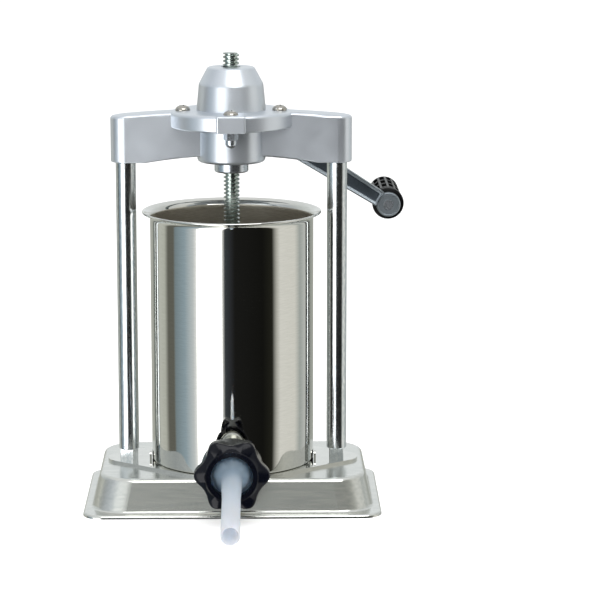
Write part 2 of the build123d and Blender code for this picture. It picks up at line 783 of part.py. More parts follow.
def drive_nut():
    """Bronze sleeve around the lead screw, with a flange under the upper bearing."""
    flange_z = upper_race_z - sleeve_flange_thick
    sleeve = post(sleeve_r, sleeve_bottom_z, upper_race_z)
    sleeve += post(sleeve_flange_r, flange_z, upper_race_z)
    sleeve -= post(lead_screw_r + thread_fit, sleeve_bottom_z - 1, upper_race_z + 1)
    half = key_size / 2
    return sleeve - block(sleeve_r - half, sleeve_r + 1, -half, half, gear_bottom_z, gear_top_z)


def drive_nut_key():
    """Square key between the drive nut and the gear."""
    half = key_size / 2
    return block(sleeve_r - half, sleeve_r + half, -half, half, gear_bottom_z, gear_top_z)


def pinion():
    """Small bevel gear on the crank shaft, pinned through its hub."""
    hub_end = -pinion_back_y
    gear = bevel_gear(pinion_r, ring_r, pinion_teeth, pinion_seat_r + press_fit, pinion_hub_r,
                      hub_end, 0.5)
    gear = Pos(0, 0, seam_z) * Rot(90, 0, 0) * gear
    return gear - post(pinion_pin_r, seam_z - 20, seam_z + 20, 0, pinion_pin_y)


pinion_pin_y = pinion_back_y - pinion_hub_length / 2


def pinion_pin():
    """Cross pin through the pinion's hub and the shaft."""
    half = pinion_hub_r - 0.5
    return post(pinion_pin_r, seam_z - half, seam_z + half, 0, pinion_pin_y)


# ---- Crank ----
def crank_shaft():
    """Stepped shaft from the pinion to the crank arm."""
    toe_y = -cone_corner(pinion_r, ring_r, 0, tooth_face)[1]
    groove_y = boss_back_y + shaft_bush_flange_thick + seat_gap
    shaft = turned_y([
        (0, toe_y), (pinion_seat_r, toe_y), (pinion_seat_r, pinion_back_y),
        (shaft_r, pinion_back_y), (shaft_r, groove_y), (shaft_r - 0.6, groove_y),
        (shaft_r - 0.6, groove_y + circlip_thick), (shaft_r, groove_y + circlip_thick),
        (shaft_r, arm_back_y), (0, arm_back_y),
    ], 0, seam_z)
    shaft -= post(pinion_pin_r, seam_z - 20, seam_z + 20, 0, pinion_pin_y)
    hole_y = arm_back_y - crank_screw_length - 1
    return shaft - rod(crank_screw_r + thread_fit, hole_y, arm_back_y + 1, 0, seam_z)


def shaft_bush(front, flanged):
    """Plain bush in the rear boss."""
    bush = rod(shaft_bush_r, front, front + shaft_bush_length, 0, seam_z)
    if flanged:
        back = front + shaft_bush_length
        bush += rod(shaft_bush_flange_r, back, back + shaft_bush_flange_thick, 0, seam_z)
    return bush - rod(shaft_r + running_fit, front - 1, front + 2 * shaft_bush_length, 0, seam_z)


def shaft_circlip():
    """Open ring in the shaft's groove."""
    front = boss_back_y + shaft_bush_flange_thick + seat_gap
    ring = rod(circlip_r, front, front + circlip_thick, 0, seam_z)
    ring -= rod(shaft_r - 0.6 + press_fit, front - 1, front + circlip_thick + 1, 0, seam_z)
    return ring - block(-2, 2, front - 1, front + 3, seam_z, seam_z + circlip_r + 1)


def on_arm(piece):
    """Piece drawn along +X in the XY plane, its thickness along Z, put on the crank at rest."""
    return Pos(0, arm_front_y, seam_z) * Rot(0, crank_rest_angle, 0) * Rot(-90, 0, 0) * piece


def tapered_bar(start_x, end_x, trim, thick):
    """Straight bar that narrows from the crank's hub to the grip's boss, less trim on each side."""
    slope = (arm_tip_half - arm_hub_half) / crank_reach
    start_half = arm_hub_half + slope * start_x - trim
    end_half = arm_hub_half + slope * end_x - trim
    corners = [(start_x, -start_half), (end_x, -end_half), (end_x, end_half), (start_x, start_half)]
    return extrude(make_face(Polyline(*corners, close=True)), thick)


def crank_arm():
    """Cast arm with a channel along its front face."""
    arm = tapered_bar(0, crank_reach, 0, arm_thick)
    long_edges = arm.edges().filter_by(lambda edge: edge.length > crank_reach / 2)
    arm = fillet(long_edges, 1.2)
    arm += post(crank_hub_r, 0, arm_thick)
    arm += post(arm_boss_r, 0, arm_thick, crank_reach)
    channel_start = crank_hub_r + 2.5
    channel_end = crank_reach - arm_boss_r - 2.0
    arm -= tapered_bar(channel_start, channel_end, arm_channel_rim, arm_channel_depth * 0.4)
    arm -= tapered_bar(channel_start + 1.5, channel_end - 1.0, arm_channel_rim + 1.5,
                       arm_channel_depth)
    arm -= post(shaft_r + press_fit, -1, arm_thick + 1)
    arm -= post(axle_r + press_fit, -1, arm_thick + 1, crank_reach)
    return on_arm(arm)


def crank_washer():
    """Washer behind the crank's hub."""
    ring = rod(crank_washer_r, arm_back_y, arm_back_y + crank_washer_thick, 0, seam_z)
    return ring - rod(crank_screw_r + bolt_fit, arm_back_y - 1, arm_back_y + 5, 0, seam_z)


def crank_screw():
    """Screw that holds the crank on its shaft."""
    screw = pan_screw(screw_head_r, screw_head_height, crank_screw_r, crank_screw_length)
    return Pos(0, arm_back_y + crank_washer_thick, seam_z) * Rot(-90, 0, 0) * screw


grip_x = crank_reach * math.cos(math.radians(crank_rest_angle))
grip_z = seam_z - crank_reach * math.sin(math.radians(crank_rest_angle))
axle_end_y = grip_back_y - grip_cap_thick - axle_head_thick - 1.0


def grip_axle():
    """Axle riveted into the crank arm, with a head that keeps the grip on."""
    axle = rod(axle_r, arm_front_y - 0.6, axle_end_y, grip_x, grip_z)
    return axle + rod(axle_head_r, axle_end_y - 0.5, axle_end_y + axle_head_thick, grip_x, grip_z)


def grip():
    """Moulded grip with a disc at the arm, a plain neck and a waffle of ribs and rings."""
    back = grip_back_y - grip_cap_thick
    waffle_front = grip_front_y + grip_flange_thick + grip_neck
    body = rod(grip_core_r, grip_front_y, back, 0, 0)
    body += rod(grip_flange_r, grip_front_y, grip_front_y + grip_flange_thick, 0, 0)
    ring_step = (back - waffle_front - grip_ring_width) / (grip_ring_count - 1)
    for index in range(grip_ring_count):
        front = waffle_front + index * ring_step
        body += rod(grip_r, front, front + grip_ring_width, 0, 0)
    rib = block(-grip_rib_width / 2, grip_rib_width / 2, waffle_front + 0.5, back - 0.5, 0,
                grip_r + 1)
    ribs = [Rot(0, 360 * index / grip_rib_count, 0) * rib for index in range(grip_rib_count)]
    sleeve = rod(grip_r, waffle_front, back, 0, 0)
    body += [rib_piece & sleeve for rib_piece in ribs]
    body -= rod(axle_r + running_fit, grip_front_y - 1, back + 1, 0, 0)
    body -= rod(axle_head_r + wall_gap, axle_end_y - 0.5 - wall_gap, back + 1, 0, 0)
    return Pos(grip_x, 0, grip_z) * body


def grip_cap():
    """Plug that closes the end of the grip."""
    back = grip_back_y - grip_cap_thick
    spigot_r = axle_head_r + wall_gap - press_fit
    cap = rod(grip_cap_r, back, grip_back_y, grip_x, grip_z)
    cap = fillet(cap.edges().group_by(Axis.Y)[-1], 1.8)
    return cap + rod(spigot_r, axle_end_y + axle_head_thick + wall_gap, back + 0.5, grip_x, grip_z)


# ---- Lead screw and piston ----
def lead_screw():
    """Lead screw with its thread drawn as rings and a plain stud for the piston."""
    top = dome_top + lead_screw_proud
    thread = turned(ringed_outline(lead_screw_r, lead_screw_depth, lead_screw_pitch, piston_top,
                                   top))
    stud_low = piston_z + 1.0
    return thread + post(piston_stud_r, stud_low, piston_top + 1)


def piston_plate():
    """Moulded piston disc with a seal groove, a nut recess and an air vent."""
    plate = post(piston_r, piston_z, piston_top)
    plate = fillet(plate.edges().group_by(Axis.Z)[-1] + plate.edges().group_by(Axis.Z)[0], 1.2)
    middle = piston_z + piston_thick / 2
    groove = post(piston_r + 2, middle - seal_section / 2, middle + seal_section / 2)
    groove -= post(seal_r - seal_depth, piston_z, piston_top)
    plate -= groove
    plate -= post(piston_recess_r, piston_z - 1, piston_z + piston_nut_height + 1)
    plate -= post(piston_stud_r + bolt_fit, piston_z, piston_top + 1)
    plate -= post(vent_head_r + wall_gap, piston_z - 1, vent_seat_z, vent_x)
    return plate - post(vent_stem_r + wall_gap, piston_z, piston_top + 1, vent_x)


def piston_seal():
    """Ring seal in the piston's groove."""
    middle = piston_z + piston_thick / 2
    low = middle - seal_section / 2
    ring = post(seal_r, low, low + seal_section) - post(seal_r - seal_depth, low - 1,
                                                        low + seal_section + 1)
    outer = ring.edges().filter_by(lambda edge: abs(edge.length - 2 * math.pi * seal_r) < 1)
    return fillet(outer, 1.0)


def piston_nut():
    """Nut in the recess under the piston."""
    low = piston_z + 1.0
    return hex_nut(piston_nut_flats, low, low + piston_nut_height, piston_stud_r + thread_fit)


def piston_jam_nut():
    """Nut on the lead screw, tight against the top of the piston."""
    return hex_nut(jam_nut_flats, piston_top, piston_top + jam_nut_height,
                   lead_screw_r + thread_fit)


vent_cap_low = piston_top + vent_travel + 1.5


def vent_valve():
    """Air vent, shut: a head against the piston's underside, a stem and a cap to press."""
    head_top = vent_seat_z - seat_gap
    valve = post(vent_head_r, head_top - vent_head_thick, head_top, vent_x)
    valve += post(vent_stem_r, head_top - 1, vent_cap_low + 0.5, vent_x)
    return valve + post(vent_cap_r, vent_cap_low, vent_cap_low + vent_cap_thick, vent_x)


def vent_spring():
    """Light coil spring between the piston and the vent's cap."""
    low = piston_top + vent_wire_r + seat_gap / 2
    height = vent_cap_low - vent_wire_r - seat_gap / 2 - low
    coil_r = (vent_stem_r + vent_cap_r) / 2
    path = Helix(height / vent_spring_turns, height, coil_r)
    wire = sweep(Plane(path @ 0, z_dir=path % 0) * Circle(vent_wire_r), path)
    return Pos(vent_x, 0, low) * wire


pieces = {
    "base_tray": base_tray(),
    "base_stiffener": base_stiffener(),
    "base_washers": base_washers(),
    "base_nuts": base_nuts(),
    "cylinder_seat": cylinder_seat(),
    "column_left": column(-1),
    "column_right": column(1),
    "cylinder": cylinder(),
    "outlet_spout": outlet_spout(),
    "stuffing_tube": stuffing_tube(),
    "retaining_knob": retaining_knob(),
    "head_body": head_body(),
    "head_cover": head_cover(),
    "cover_screws": cover_screws(),
    "front_cap_nut": front_cap_nut(),
    "column_set_screws": column_set_screws(),
    "lower_bush": lower_bush(),
    "lower_race_fixed": thrust_race(lower_race_z),
    "lower_balls": thrust_balls(lower_race_z + race_thick),
    "lower_race_turning": thrust_race(gear_bottom_z - race_thick),
    "drive_gear": drive_gear(),
    "drive_nut": drive_nut(),
    "drive_nut_key": drive_nut_key(),
    "upper_race_turning": thrust_race(upper_race_z),
    "upper_balls": thrust_balls(upper_race_z + race_thick),
    "upper_race_fixed": thrust_race(ceiling_z - race_thick),
    "shaft_bush_inner": shaft_bush(pinion_back_y + 1 + seat_gap, False),
    "shaft_bush_outer": shaft_bush(boss_back_y - shaft_bush_length, True),
    "pinion": pinion(),
    "pinion_pin": pinion_pin(),
    "crank_shaft": crank_shaft(),
    "shaft_circlip": shaft_circlip(),
    "crank_arm": crank_arm(),
    "crank_washer": crank_washer(),
    "crank_screw": crank_screw(),
    "grip_axle": grip_axle(),
    "grip": grip(),
    "grip_cap": grip_cap(),
    "lead_screw": lead_screw(),
    "piston_plate": piston_plate(),
    "piston_seal": piston_seal(),
    "piston_nut": piston_nut(),
    "piston_jam_nut": piston_jam_nut(),
    "vent_valve": vent_valve(),
    "vent_spring": vent_spring(),
}

os.makedirs("parts", exist_ok=True)
for name, piece in pieces.items():
    solids = piece if isinstance(piece, list) else [piece]
    export_step(Compound(children=[solid for entry in solids for solid in entry.solids()]),
                os.path.join("parts", name + ".step"))
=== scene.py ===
"""Vertical sausage stuffer: finished pieces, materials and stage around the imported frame.

Everything is in metres, +Z up, with the origin on the table under the cylinder's axis.
The outlet points along -Y and the crank stands behind along +Y.
"""
import json
import math

import bpy
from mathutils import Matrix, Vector


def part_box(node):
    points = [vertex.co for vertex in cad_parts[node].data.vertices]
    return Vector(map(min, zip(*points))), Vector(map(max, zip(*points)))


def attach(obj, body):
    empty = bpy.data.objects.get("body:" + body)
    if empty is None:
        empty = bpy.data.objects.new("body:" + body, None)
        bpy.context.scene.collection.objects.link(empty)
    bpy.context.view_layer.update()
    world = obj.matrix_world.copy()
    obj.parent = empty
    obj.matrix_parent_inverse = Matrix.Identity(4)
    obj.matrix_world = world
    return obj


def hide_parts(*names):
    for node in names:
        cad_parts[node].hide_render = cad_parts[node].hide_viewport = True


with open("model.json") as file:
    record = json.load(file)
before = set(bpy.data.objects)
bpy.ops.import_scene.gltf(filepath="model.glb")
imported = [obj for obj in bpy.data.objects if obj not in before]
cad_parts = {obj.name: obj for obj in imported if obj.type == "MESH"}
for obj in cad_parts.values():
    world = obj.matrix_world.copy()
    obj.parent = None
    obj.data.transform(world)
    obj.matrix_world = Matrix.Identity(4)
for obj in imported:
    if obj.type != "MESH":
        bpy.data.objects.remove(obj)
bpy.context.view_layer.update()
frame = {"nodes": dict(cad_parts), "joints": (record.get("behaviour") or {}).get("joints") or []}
bpy.ops.object.select_all(action="DESELECT")

bl_info = {
    "name": "Sausage stuffer",
    "version": (1, 0, 0),
    "blender": (4, 5, 0),
    "location": "View3D > Sidebar > Stuffer",
    "description": "Builds the finished pieces, materials and stage of a vertical sausage stuffer",
    "category": "Object",
}

NODES = frame["nodes"]
JOINTS = {joint["name"]: joint for joint in frame["joints"]}
MM = 0.001


# ---- Places read from the frame ----
def corners(name):
    """Lowest and highest corner of a CAD node, as two Vectors."""
    low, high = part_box(name)
    return Vector(low), Vector(high)


# ---- Colours and nodes ----
def linear(code):
    """Linear RGBA of an sRGB hex colour."""
    parts = [int(code[index:index + 2], 16) / 255 for index in (0, 2, 4)]
    parts = [c / 12.92 if c <= 0.04045 else ((c + 0.055) / 1.055) ** 2.4 for c in parts]
    return (*parts, 1.0)


def node(tree, kind, inputs=None, **settings):
    """Adds a node with its settings; an input is a value or the socket that it is linked from."""
    made = tree.nodes.new("ShaderNode" + kind)
    for name, value in settings.items():
        setattr(made, name, value)
    for name, value in (inputs or {}).items():
        if isinstance(value, bpy.types.NodeSocket):
            tree.links.new(value, made.inputs[name])
        else:
            made.inputs[name].default_value = value
    return made


def fill_ramp(ramp, stops):
    """Sets a colour ramp from (position, hex colour) pairs in rising order."""
    elements = ramp.color_ramp.elements
    elements.remove(elements[-1])
    elements[0].position, elements[0].color = stops[0][0], linear(stops[0][1])
    for position, code in stops[1:]:
        elements.new(position).color = linear(code)


def new_material(name):
    """Empty node material, its tree and its object coordinates."""
    material = bpy.data.materials.new(name)
    material.use_nodes = True
    tree = material.node_tree
    tree.nodes.clear()
    return material, tree, node(tree, "TexCoord").outputs["Object"]


def close_material(tree, shader):
    """Links a shader to the material's output."""
    node(tree, "OutputMaterial", {"Surface": shader.outputs[0]})


def metal(name, code, dull, roughness, spread, grain_mm, stretch, relief_mm, metallic=1.0):
    """Metal whose colour and roughness drift slightly, with a fine relief drawn out by stretch."""
    material, tree, place = new_material(name)
    mapped = node(tree, "Mapping", {"Vector": place, "Scale": stretch})
    grain = node(tree, "TexNoise", {"Vector": mapped.outputs[0], "Scale": 1000 / grain_mm,
                                    "Detail": 3.0, "Roughness": 0.55})
    drift = node(tree, "TexNoise", {"Vector": place, "Scale": 38.0, "Detail": 2.0})
    uneven = node(tree, "MapRange", {"Value": drift.outputs["Fac"], "From Min": 0.3,
                                     "From Max": 0.7, "To Min": max(roughness - spread, 0.01),
                                     "To Max": roughness + spread})
    share = node(tree, "MapRange", {"Value": grain.outputs["Fac"], "From Min": 0.3,
                                    "From Max": 0.7})
    colour = node(tree, "Mix", {"Factor": share.outputs[0], 6: linear(dull), 7: linear(code)},
                  data_type="RGBA")
    bump = node(tree, "Bump", {"Height": grain.outputs["Fac"], "Strength": 1.0,
                               "Distance": relief_mm * MM})
    close_material(tree, node(tree, "BsdfPrincipled", {
        "Base Color": colour.outputs[2], "Metallic": metallic, "Roughness": uneven.outputs[0],
        "Normal": bump.outputs[0]}))
    return material


def plastic(name, code, dull, roughness, grain_mm, relief_mm, specular=0.5):
    """Moulded plastic with a faint mould texture."""
    material, tree, place = new_material(name)
    grain = node(tree, "TexNoise", {"Vector": place, "Scale": 1000 / grain_mm, "Detail": 2.0})
    uneven = node(tree, "MapRange", {"Value": grain.outputs["Fac"], "From Min": 0.3,
                                     "From Max": 0.7, "To Min": roughness * 0.85,
                                     "To Max": roughness * 1.15})
    colour = node(tree, "Mix", {"Factor": grain.outputs["Fac"], 6: linear(dull),
                                7: linear(code)}, data_type="RGBA")
    bump = node(tree, "Bump", {"Height": grain.outputs["Fac"], "Strength": 1.0,
                               "Distance": relief_mm * MM})
    close_material(tree, node(tree, "BsdfPrincipled", {
        "Base Color": colour.outputs[2], "Roughness": uneven.outputs[0], "IOR": 1.5,
        "Specular IOR Level": specular, "Normal": bump.outputs[0]}))
    return material


def milky_polyethylene():
    """Natural low-density polyethylene, moulded: light sinks in and comes out soft and bluish. Its
    colour carries painted shade, darker and bluer towards the flange end.
    """
    material, tree, place = new_material("moulded_natural_polyethylene")
    low, high = corners("stuffing_tube")
    along = node(tree, "SeparateXYZ", {"Vector": place}).outputs["Y"]
    cloud = node(tree, "TexNoise", {"Vector": place, "Scale": 60.0, "Detail": 2.0})
    drift = node(tree, "Math", {0: cloud.outputs["Fac"], 1: 0.02, 2: -0.01},
                 operation="MULTIPLY_ADD")
    shifted = node(tree, "Math", {0: along, 1: drift.outputs[0]}, operation="ADD")
    share = node(tree, "MapRange", {"Value": shifted.outputs[0], "From Min": low.y,
                                    "From Max": high.y})
    # Painted shade: the ramp darkens the colour to blue grey towards the flange end.
    colour = node(tree, "ValToRGB", {"Fac": share.outputs[0]})
    fill_ramp(colour, [(0.0, "eceef5"), (0.3, "e4eaf2"), (0.72, "cfdbe6"), (0.9, "a3b8cb"),
                       (1.0, "93a9bd")])
    ripple = node(tree, "TexNoise", {"Vector": place, "Scale": 400.0, "Detail": 1.0})
    bump = node(tree, "Bump", {"Height": ripple.outputs["Fac"], "Strength": 1.0,
                               "Distance": 0.02 * MM})
    close_material(tree, node(tree, "BsdfPrincipled", {
        "Base Color": colour.outputs[0], "Roughness": 0.38, "IOR": 1.25,
        "Subsurface Weight": 0.55, "Subsurface Radius": (0.008, 0.010, 0.012),
        "Subsurface Scale": 1.0, "Transmission Weight": 0.62, "Normal": bump.outputs[0]}))
    return material


MATERIALS = {}


def make_materials(colours):
    """Makes every finish of the stuffer once."""
    steel, chrome = colours.stainless, colours.chrome
    MATERIALS.update({
        # Drawn stainless sheet, mirror polished: sharp reflections, faint turning lines.
        "mirror_stainless": metal("mirror_polished_stainless", steel, "d3d3ce", 0.05, 0.012,
                                  1.2, (0.15, 0.15, 3.0), 0.00012),
        # Pressed stainless sheet from the bright roll: a little softer, with long faint lines.
        "rolled_stainless": metal("bright_rolled_stainless", steel, "ced0cc", 0.21, 0.02,
                                  2.2, (0.1, 1.0, 1.0), 0.0002),
        # Inside of the drawn cylinder: scoured satin, with painted shade and reflection: a darker
        # brownish tint for the inside seeing only itself.
        "scoured_stainless_painted_shade": metal("scoured_stainless_painted_shade", "c9c4b8", "aaa497", 0.31, 0.03, 1.0,
                                   (0.15, 0.15, 3.0), 0.0004, 0.9),
        # Chrome plate over drawn bar, polished by hand: bright with slightly soft edges.
        "chrome": metal("chrome_plated_bar", chrome, "c3cace", 0.2, 0.02, 1.5,
                        (1.0, 1.0, 0.3), 0.0004),
        # Die-cast aluminium, blasted and tumbled: a soft sheen with a fine sandy grain.
        "satin_aluminium": metal("blasted_diecast_aluminium", colours.casting, "c9cfd6", 0.325,
                                 0.04, 0.45, (1.0, 1.0, 1.0), 0.006, 0.85),
        # Turned aluminium: the same sheen with fine rings round the axis.
        "turned_aluminium": metal("turned_aluminium", colours.casting, "c6ccd2", 0.235, 0.03,
                                  0.5, (0.15, 0.15, 4.0), 0.003, 0.95),
        # Die-cast aluminium left as cast: darker and duller grey.
        "dark_aluminium": metal("as_cast_aluminium", colours.arm, "8e979e", 0.33, 0.04, 0.5,
                                (1.0, 1.0, 1.0), 0.006),
        # The arm's sunk channel: painted shade, a darker grey standing in for the shade it holds,
        # and rougher than the rest.
        "painted_shade_channel": metal("painted_shade_channel_aluminium", "4d545a", "3a4046", 0.45, 0.05, 0.5,
                            (1.0, 1.0, 1.0), 0.02),
        # Nickel plate on steel screws: slightly warm and dark between highlights.
        "nickel": metal("nickel_plated_steel", "c2bfb8", "a19d95", 0.15, 0.04, 0.6,
                        (1.0, 1.0, 1.0), 0.002),
        # Zinc plate on steel: greenish grey, half bright.
        "zinc": metal("zinc_plated_steel", "c3ccc7", "a2ada8", 0.21, 0.05, 0.5,
                      (1.0, 1.0, 1.0), 0.004),
        # Machined steel of the gears, oiled.
        "gear_steel": metal("machined_gear_steel", "8b8c8e", "6a6b6d", 0.34, 0.05, 0.4,
                            (1.0, 1.0, 1.0), 0.005),
        # Ground bearing steel.
        "bearing_steel": metal("ground_bearing_steel", "c4c4c6", "aaaaad", 0.12, 0.03, 0.8,
                               (1.0, 1.0, 1.0), 0.001),
        # Black oxide on grub screws and rings.
        "black_oxide": metal("black_oxide_steel", "2f2f31", "1d1d1f", 0.38, 0.06, 0.4,
                             (1.0, 1.0, 1.0), 0.004),
        # Sintered bronze bushes, dull from oil.
        "bronze": metal("sintered_bronze", "b08a52", "8d6c3e", 0.34, 0.06, 0.35,
                        (1.0, 1.0, 1.0), 0.008),
        # Glossy moulded phenolic: navy black with a clear skin.
        "gloss_black": plastic("moulded_phenolic_gloss", colours.knob, "04050b", 0.16, 0.9,
                               0.0012, 0.2),
        # Moulded polypropylene with a fine leathery texture.
        "satin_black": plastic("moulded_polypropylene_satin", colours.grip, "060607", 0.3,
                               0.5, 0.004, 0.16),
        # White acetal of the piston.
        "white_acetal": plastic("machined_white_acetal", "e9e8e2", "dcdbd4", 0.38, 0.6, 0.004),
        # Cast silicone seal.
        "silicone": plastic("cast_silicone", "ded9cc", "cfcabb", 0.55, 0.8, 0.006),
        "milky": milky_polyethylene(),
    })


NODE_FINISH = {
    "base_tray": "rolled_stainless", "base_stiffener": "zinc", "base_washers": "zinc",
    "base_nuts": "zinc", "cylinder_seat": "mirror_stainless", "column_left": "chrome",
    "column_right": "chrome", "cylinder": "mirror_stainless", "outlet_spout": "rolled_stainless",
    "stuffing_tube": "milky", "retaining_knob": "gloss_black", "head_body": "satin_aluminium",
    "head_cover": "satin_aluminium", "cover_screws": "nickel", "front_cap_nut": "turned_aluminium",
    "column_set_screws": "black_oxide", "lower_bush": "turned_aluminium",
    "lower_race_fixed": "bearing_steel", "lower_balls": "bearing_steel",
    "lower_race_turning": "bearing_steel", "drive_gear": "gear_steel", "drive_nut": "bronze",
    "drive_nut_key": "gear_steel", "upper_race_turning": "bearing_steel",
    "upper_balls": "bearing_steel", "upper_race_fixed": "bearing_steel",
    "shaft_bush_inner": "bronze", "shaft_bush_outer": "bronze", "pinion": "gear_steel",
    "pinion_pin": "gear_steel", "crank_shaft": "zinc", "shaft_circlip": "black_oxide",
    "crank_arm": "dark_aluminium", "crank_washer": "zinc", "crank_screw": "nickel",
    "grip_axle": "turned_aluminium", "grip": "satin_black", "grip_cap": "satin_black",
    "lead_screw": "zinc", "piston_plate": "white_acetal", "piston_seal": "silicone",
    "piston_nut": "zinc", "piston_jam_nut": "zinc", "vent_valve": "white_acetal",
    "vent_spring": "zinc",
}


# ---- Modelling by hand ----
def edit(mode):
    """Enters edit mode on the active object with everything deselected, in one select mode."""
    bpy.ops.object.mode_set(mode="EDIT")
    bpy.ops.mesh.select_mode(type=mode)
    bpy.ops.mesh.select_all(action="DESELECT")


def select(test, mode="FACE"):
    """Selects the active object's faces, edges or vertices whose centre and normal pass a test."""
    bpy.ops.object.mode_set(mode="OBJECT")
    mesh = bpy.context.object.data
    for group in (mesh.vertices, mesh.edges, mesh.polygons):
        group.foreach_set("select", [False] * len(group))
    if mode == "FACE":
        for face in mesh.polygons:
            face.select = test(face.center, face.normal)
    elif mode == "EDGE":
        for edge in mesh.edges:
            ends = [mesh.vertices[index].co for index in edge.vertices]
            edge.select = test((ends[0] + ends[1]) / 2, ends[1] - ends[0])
    else:
        for vertex in mesh.vertices:
            vertex.select = test(vertex.co, vertex.normal)
    bpy.ops.object.mode_set(mode="EDIT")
    bpy.ops.mesh.select_mode(type=mode)


def leave_edit(outward=True):
    """Leaves edit mode with the doubles merged and the faces turned outwards."""
    bpy.ops.mesh.select_all(action="SELECT")
    bpy.ops.mesh.remove_doubles(threshold=1e-6)
    if outward:
        bpy.ops.mesh.normals_make_consistent(inside=False)
    bpy.ops.mesh.select_all(action="DESELECT")
    bpy.ops.object.mode_set(mode="OBJECT")


def settle(piece):
    """Applies the piece's place, so that its object sits at the origin, unturned."""
    bpy.ops.object.select_all(action="DESELECT")
    piece.select_set(True)
    bpy.context.view_layer.objects.active = piece
    bpy.ops.object.transform_apply(location=True, rotation=True, scale=True)


def add_modifier(piece, kind, name, **settings):
    """Adds a modifier to the piece and applies it at once."""
    bpy.context.view_layer.objects.active = piece
    modifier = piece.modifiers.new(name, kind)
    for key, value in settings.items():
        setattr(modifier, key, value)
    bpy.ops.object.modifier_apply(modifier=modifier.name)


def finish_piece(piece, body, finish, slot, *stands_for, angle=30.0):
    """Shades a piece, gives it its finish, and lets it ride on its body. The slot is not used."""
    settle(piece)
    bpy.ops.object.shade_smooth_by_angle(angle=math.radians(angle))
    piece.data.materials.clear()
    piece.data.materials.append(MATERIALS[finish])
    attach(piece, body)
    if stands_for:
        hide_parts(*stands_for)
    bpy.ops.object.select_all(action="DESELECT")


def turned(name, outline, sides, closed=False):
    """Piece turned on Z: a ring of the first corner, extruded and scaled to each next corner."""
    radius, height = outline[0]
    bpy.ops.mesh.primitive_circle_add(vertices=sides, radius=max(radius, 1e-7),
                                      location=(0, 0, height))
    piece = bpy.context.object
    piece.name = name
    settle(piece)
    bpy.ops.object.mode_set(mode="EDIT")
    bpy.ops.mesh.select_mode(type="EDGE")
    bpy.ops.mesh.select_all(action="SELECT")
    for next_radius, next_height in outline[1:] + (outline[:1] if closed else []):
        bpy.ops.mesh.extrude_edges_move(
            TRANSFORM_OT_translate={"value": (0, 0, next_height - height)})
        scale = max(next_radius, 1e-7) / max(radius, 1e-7)
        bpy.ops.transform.resize(value=(scale, scale, 1), center_override=(0, 0, next_height))
        radius, height = next_radius, next_height
    leave_edit()
    return piece


def lay_along_y(piece, x, z):
    """Turns a piece made on Z so that its +Z points along +Y, at a place in X and Z."""
    piece.rotation_euler = (-math.pi / 2, 0, 0)
    piece.location = (x, 0, z)
    settle(piece)


def arc(centre, radius, start, end, steps):
    """Corners of a rounded edge, in degrees."""
    turns = [math.radians(start + (end - start) * step / steps) for step in range(steps + 1)]
    return [(centre[0] + radius * math.cos(turn), centre[1] + radius * math.sin(turn))
            for turn in turns]


# ---- Sizes and colours that a user would change ----
class StufferColours(bpy.types.PropertyGroup):
    stainless: bpy.props.StringProperty(
        name="Stainless", description="Colour of the polished stainless steel", default="dcdcd7")
    chrome: bpy.props.StringProperty(
        name="Chrome", description="Colour of the chrome plate", default="e6e9ea")
    casting: bpy.props.StringProperty(
        name="Casting", description="Colour of the gear head's castings", default="cfd4da")
    arm: bpy.props.StringProperty(
        name="Crank arm", description="Colour of the crank arm's casting", default="b4bcc2")
    knob: bpy.props.StringProperty(
        name="Knob", description="Colour of the retaining knob", default="0a0c14")
    grip: bpy.props.StringProperty(
        name="Grip", description="Colour of the crank's grip", default="0b0b0d")


class StufferSizes(bpy.types.PropertyGroup):
    lip_bead: bpy.props.FloatProperty(
        name="Lip bead", description="Radius of the rolled edge of the cylinder's lip",
        default=0.9 * MM, min=0.0, subtype="DISTANCE", unit="LENGTH")
    wall: bpy.props.FloatProperty(
        name="Cylinder wall", description="Thickness of the cylinder's sheet",
        default=1.0 * MM, min=0.0, subtype="DISTANCE", unit="LENGTH")
    thread_pitch: bpy.props.FloatProperty(
        name="Lead screw pitch", description="Travel of one turn of the lead screw",
        default=3.175 * MM, min=0.0005, subtype="DISTANCE", unit="LENGTH")
    thread_depth: bpy.props.FloatProperty(
        name="Lead screw depth", description="Depth of the lead screw's thread",
        default=1.6 * MM, min=0.0, subtype="DISTANCE", unit="LENGTH")


class StageSettings(bpy.types.PropertyGroup):
    lens: bpy.props.FloatProperty(
        name="Lens", description="Focal length of the stage camera", default=152.2, min=10.0,
        subtype="DISTANCE_CAMERA", unit="CAMERA")
    floor_reach: bpy.props.FloatProperty(
        name="Floor reach", description="Half width of the floor", default=6.0, min=0.5,
        subtype="DISTANCE", unit="LENGTH")


# ---- Stage ----
# Azimuths in degrees from the camera's side (-Y) towards +X, with what a studio shows there.
LOW_BANDS = [
    (-90, "6f716c"), (-87, "7d8c93"), (-70, "96a8b2"), (-56, "ccd2d5"), (-50, "ffffff"),
    (-14, "ffffff"), (-10, "3c4145"), (-3, "303236"), (4, "1c1c1b"), (44, "151513"),
    (59, "25251f"), (66, "b9b8b2"), (72, "e2e1dc"), (100, "deddd7"), (112, "a9afad"),
    (126, "c6c9c7"), (150, "9da09a"), (185, "b0b2ab"), (215, "a6a8a1"), (238, "c3c5be"),
    (250, "bcbeb6"), (258, "66665f"), (269, "66665f"),
]
HIGH_BANDS = [
    (-90, "b4babf"), (-60, "ccd2d8"), (-45, "ecf0f2"), (-18, "e2e6e6"), (-5, "a9adab"),
    (4, "949692"), (40, "8d8f8b"), (62, "aaaba6"), (80, "d6d7d3"), (120, "c6c9c9"),
    (180, "e6eaec"), (230, "cfd4d4"), (269, "b4babf"),
]
SOFTBOX_GAIN = 3.2


